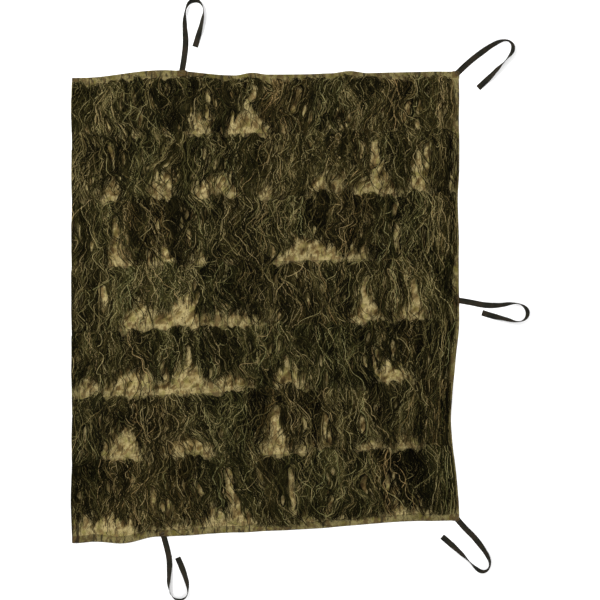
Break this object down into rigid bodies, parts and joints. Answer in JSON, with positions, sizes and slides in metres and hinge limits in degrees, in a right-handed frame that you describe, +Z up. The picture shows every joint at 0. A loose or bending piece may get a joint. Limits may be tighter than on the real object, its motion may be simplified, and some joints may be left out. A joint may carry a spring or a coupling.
{
  "type": "layout field blind",
  "caption": "Flat camouflage cover for lying hunters: cloth backing with rows of loose hanging yarn, a stitched hem and webbing ties at corners and edges.",
  "frame": {"origin": "on the ground under the middle of the spread cover, leaving the ties out", "axes": "+Z up, out of the yarn side; +Y from the hanging yarn ends towards the seams, up the cover; +X along the rows, towards the edge with the side tie"},
  "size_m": [1.9699, 2.5985, 0.03],
  "materials": {
    "backing_cloth": "matte",
    "hem_cloth": "matte",
    "yarn": "matte",
    "row_tape": "matte",
    "patch_cloth": "matte",
    "webbing": "satin",
    "stitching": "matte"
  },
  "bodies": {
    "middle_panel": {"backing_middle": "backing_cloth", "left_hem_middle": "hem_cloth", "right_hem_middle": "hem_cloth", "row_tape_3": "row_tape", "thread_row_3": "yarn", "row_tape_4": "row_tape", "thread_row_4": "yarn", "row_tape_5": "row_tape", "thread_row_5": "yarn", "right_tie_patch": "patch_cloth", "right_tie_tab": "webbing", "right_tie_bartack": "stitching"},
    "top_panel": {"backing_top": "backing_cloth", "top_hem": "hem_cloth", "left_hem_top": "hem_cloth", "right_hem_top": "hem_cloth", "row_tape_1": "row_tape", "thread_row_1": "yarn", "row_tape_2": "row_tape", "thread_row_2": "yarn", "top_left_corner_patch": "patch_cloth", "top_right_corner_patch": "patch_cloth", "top_corner_tie_tab": "webbing", "top_corner_tie_bartack": "stitching", "top_tie_patch": "patch_cloth", "top_tie_tab": "webbing", "top_tie_bartack": "stitching"},
    "bottom_panel": {"backing_bottom": "backing_cloth", "bottom_hem": "hem_cloth", "left_hem_bottom": "hem_cloth", "right_hem_bottom": "hem_cloth", "row_tape_6": "row_tape", "thread_row_6": "yarn", "row_tape_7": "row_tape", "thread_row_7": "yarn", "bottom_left_corner_patch": "patch_cloth", "bottom_right_corner_patch": "patch_cloth", "bottom_corner_tie_tab": "webbing", "bottom_corner_tie_bartack": "stitching", "bottom_tie_patch": "patch_cloth", "bottom_tie_tab": "webbing", "bottom_tie_bartack": "stitching"},
    "top_tie_end": {"top_tie": "webbing"},
    "top_corner_tie_end": {"top_corner_tie": "webbing"},
    "right_tie_end": {"right_tie": "webbing"},
    "bottom_corner_tie_end": {"bottom_corner_tie": "webbing"},
    "bottom_tie_end": {"bottom_tie": "webbing"}
  },
  "joints": [
    {"name": "top_fold", "type": "hinge", "parent": "middle_panel", "child": "top_panel", "pos_m": [0, 0.47731, 0.033], "axis": [0.9996, 0.0271, 0], "range_deg": [0, 180]},
    {"name": "bottom_fold", "type": "hinge", "parent": "middle_panel", "child": "bottom_panel", "pos_m": [0, -0.35282, 0.052], "axis": [-0.9992, -0.0411, 0], "range_deg": [0, 180]},
    {"name": "top_tie_swing", "type": "hinge", "parent": "top_panel", "child": "top_tie_end", "pos_m": [-0.357, 1.024, 0.0007], "axis": [0, 0, 1], "range_deg": [-45, 60]},
    {"name": "top_corner_tie_swing", "type": "hinge", "parent": "top_panel", "child": "top_corner_tie_end", "pos_m": [0.842, 1.018, 0.0007], "axis": [0, 0, 1], "range_deg": [-25, 75]},
    {"name": "right_tie_swing", "type": "hinge", "parent": "middle_panel", "child": "right_tie_end", "pos_m": [0.845, 0.022, 0.0007], "axis": [0, 0, 1], "range_deg": [-45, 65]},
    {"name": "bottom_corner_tie_swing", "type": "hinge", "parent": "bottom_panel", "child": "bottom_corner_tie_end", "pos_m": [0.84, -0.935, 0.0007], "axis": [0, 0, 1], "range_deg": [-15, 70]},
    {"name": "bottom_tie_swing", "type": "hinge", "parent": "bottom_panel", "child": "bottom_tie_end", "pos_m": [-0.434, -1.003, 0.0007], "axis": [0, 0, 1], "range_deg": [-55, 35]}
  ]
}
